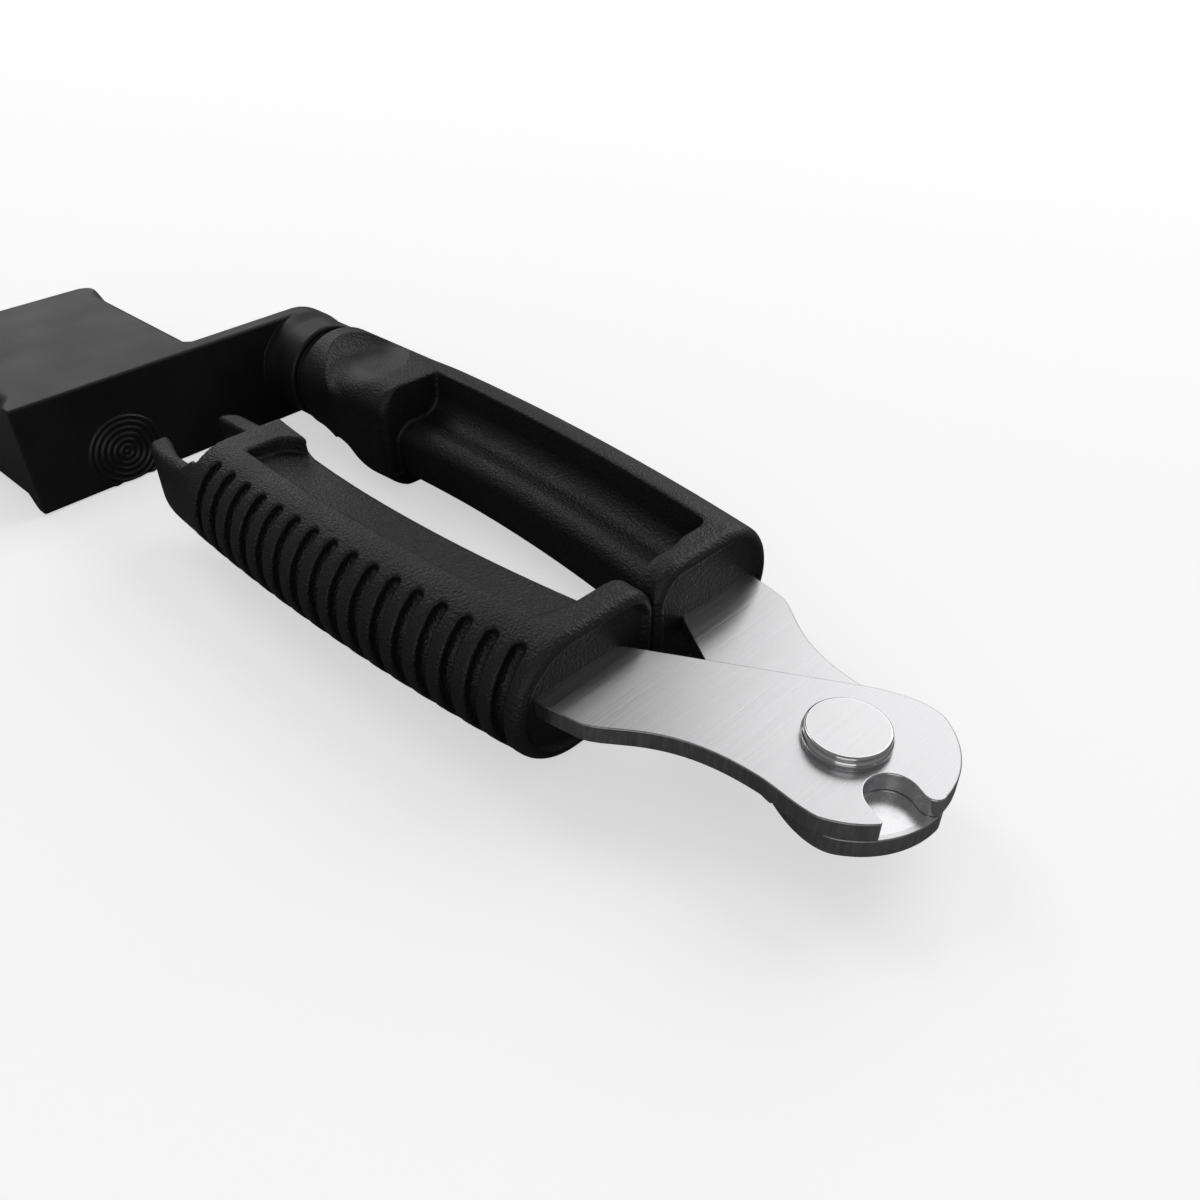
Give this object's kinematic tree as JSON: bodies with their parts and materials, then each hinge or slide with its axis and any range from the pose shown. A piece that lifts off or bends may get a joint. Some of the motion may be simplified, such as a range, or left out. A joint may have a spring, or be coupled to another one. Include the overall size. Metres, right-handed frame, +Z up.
{
  "type": "string winder",
  "caption": "Hand string winder: a spinning crank with a tuning-peg socket on a hinged pair of handles with cutting jaws and a bridge-pin fork.",
  "frame": {"origin": "centre of the underside of the bounding box, on the surface that the closed tool lies on", "axes": "+X towards the cutting jaws, +Y towards the handle that carries the crank, +Z up from the surface"},
  "size_m": [0.1668, 0.0604, 0.017],
  "materials": {
    "grip_plastic": "fine leather-like stipple, moulded in black",
    "crank_plastic": "smooth satin, moulded in black",
    "jaw_steel": "brushed across the jaw, with bright bevelled edges",
    "rivet_steel": "brushed flat top with a polished rim",
    "spindle_steel": "turned steel",
    "bearing_plastic": "smooth black acetal"
  },
  "bodies": {
    "crank_side": {"crank_handle": "grip_plastic", "lower_jaw": "jaw_steel", "pivot_rivet": "rivet_steel", "pivot_washer": "rivet_steel", "spindle_bush": "bearing_plastic", "thrust_washer": "bearing_plastic"},
    "fork_side": {"fork_handle": "grip_plastic", "upper_jaw": "jaw_steel"},
    "crank": {"crank_arm": "crank_plastic", "crank_spindle": "spindle_steel", "retaining_ring": "spindle_steel"}
  },
  "joints": [
    {"name": "jaw_pivot", "type": "hinge", "parent": "crank_side", "child": "fork_side", "pos_m": [0.07237, 0.00559, 0.0085], "axis": [0, 0, 1], "range_deg": [0, 50]},
    {"name": "crank_spin", "type": "hinge", "parent": "crank_side", "child": "crank", "pos_m": [-0.04632, 0.01981, 0.0085], "axis": [-0.999, -0.0436, 0], "continuous": true}
  ]
}
